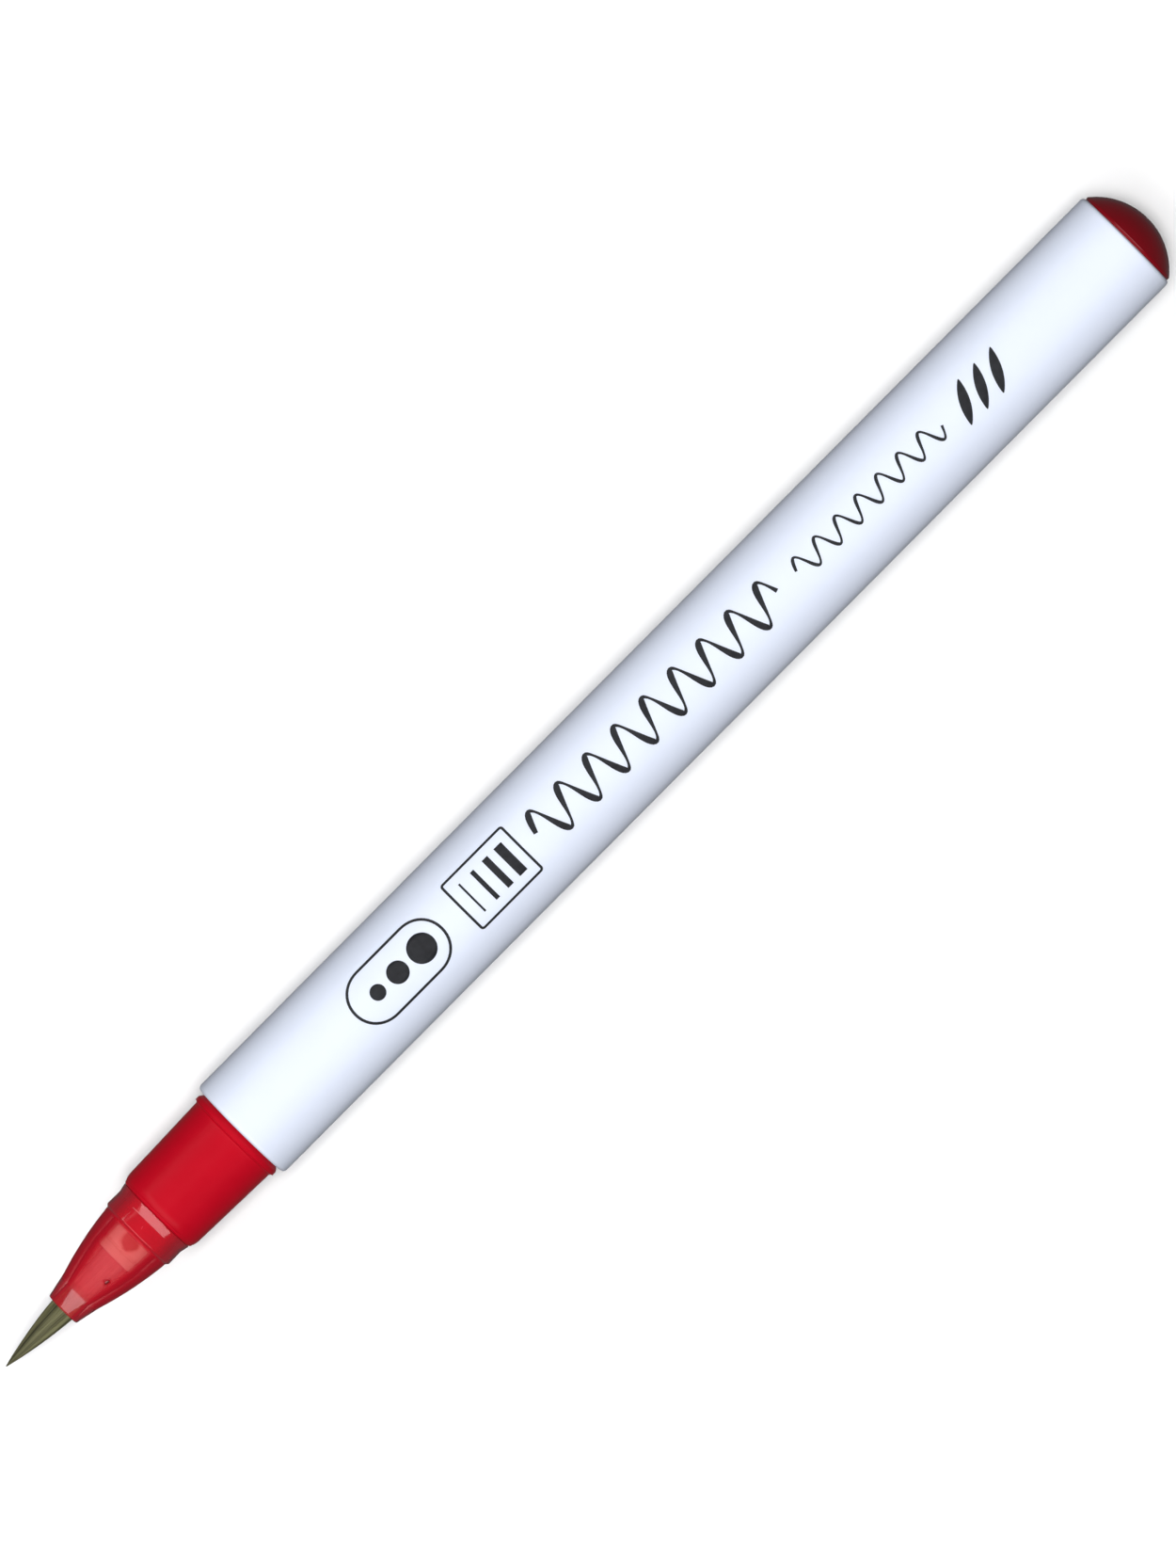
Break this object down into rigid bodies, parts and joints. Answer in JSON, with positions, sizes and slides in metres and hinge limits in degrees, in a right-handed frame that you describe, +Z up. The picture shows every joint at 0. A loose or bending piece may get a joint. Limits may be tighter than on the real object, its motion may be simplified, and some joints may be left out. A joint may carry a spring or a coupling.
{
  "type": "brush pen",
  "caption": "Slim uncapped brush pen: white tube barrel with red domed tail plug, red grip, translucent red nose cone and a pointed filament brush.",
  "frame": {"origin": "on the surface the pen lies on, under the middle of its length", "axes": "+X along the pen from the brush's point to the domed tail, +Z up from the surface, +Y across the pen"},
  "size_m": [0.1434, 0.0106, 0.0107],
  "materials": {
    "barrel_white": "smooth glossy white moulded polypropylene",
    "plug_red": "smooth glossy dark red moulded plastic",
    "grip_red": "satin-gloss bright red moulded plastic",
    "nose_clear_red": "polished translucent red moulded plastic",
    "inner_white": "unpigmented moulded polyethylene",
    "brush": "fine tapered synthetic filaments, olive grey",
    "ink_fibre": "bonded polyester fibre soaked with red ink",
    "film": "thin clear film wrapped round the fibre"
  },
  "bodies": {
    "pen": {"barrel": "barrel_white", "tail_plug": "plug_red", "grip_section": "grip_red", "nose_cone": "nose_clear_red", "brush_ferrule": "inner_white", "brush_root": "brush", "inner_plug": "inner_white", "relay_core": "ink_fibre", "ink_reservoir": "ink_fibre", "reservoir_film": "film"},
    "brush_belly": {"brush_belly": "brush"},
    "brush_point": {"brush_point": "brush"}
  },
  "joints": [
    {"name": "brush_bend", "type": "hinge", "parent": "pen", "child": "brush_belly", "pos_m": [-0.065, 0, 0.00535], "axis": [0, 0, 1], "range_deg": [-30, 30], "stiffness_Nm_per_rad": 0.00002},
    {"name": "point_bend", "type": "hinge", "parent": "brush_belly", "child": "brush_point", "pos_m": [-0.06808, 0, 0.00535], "axis": [0, 0, 1], "range_deg": [-30, 30], "stiffness_Nm_per_rad": 0.00001}
  ],
  "couplings": [
    {"joint": "point_bend", "follows": "brush_bend", "ratio": 1}
  ]
}
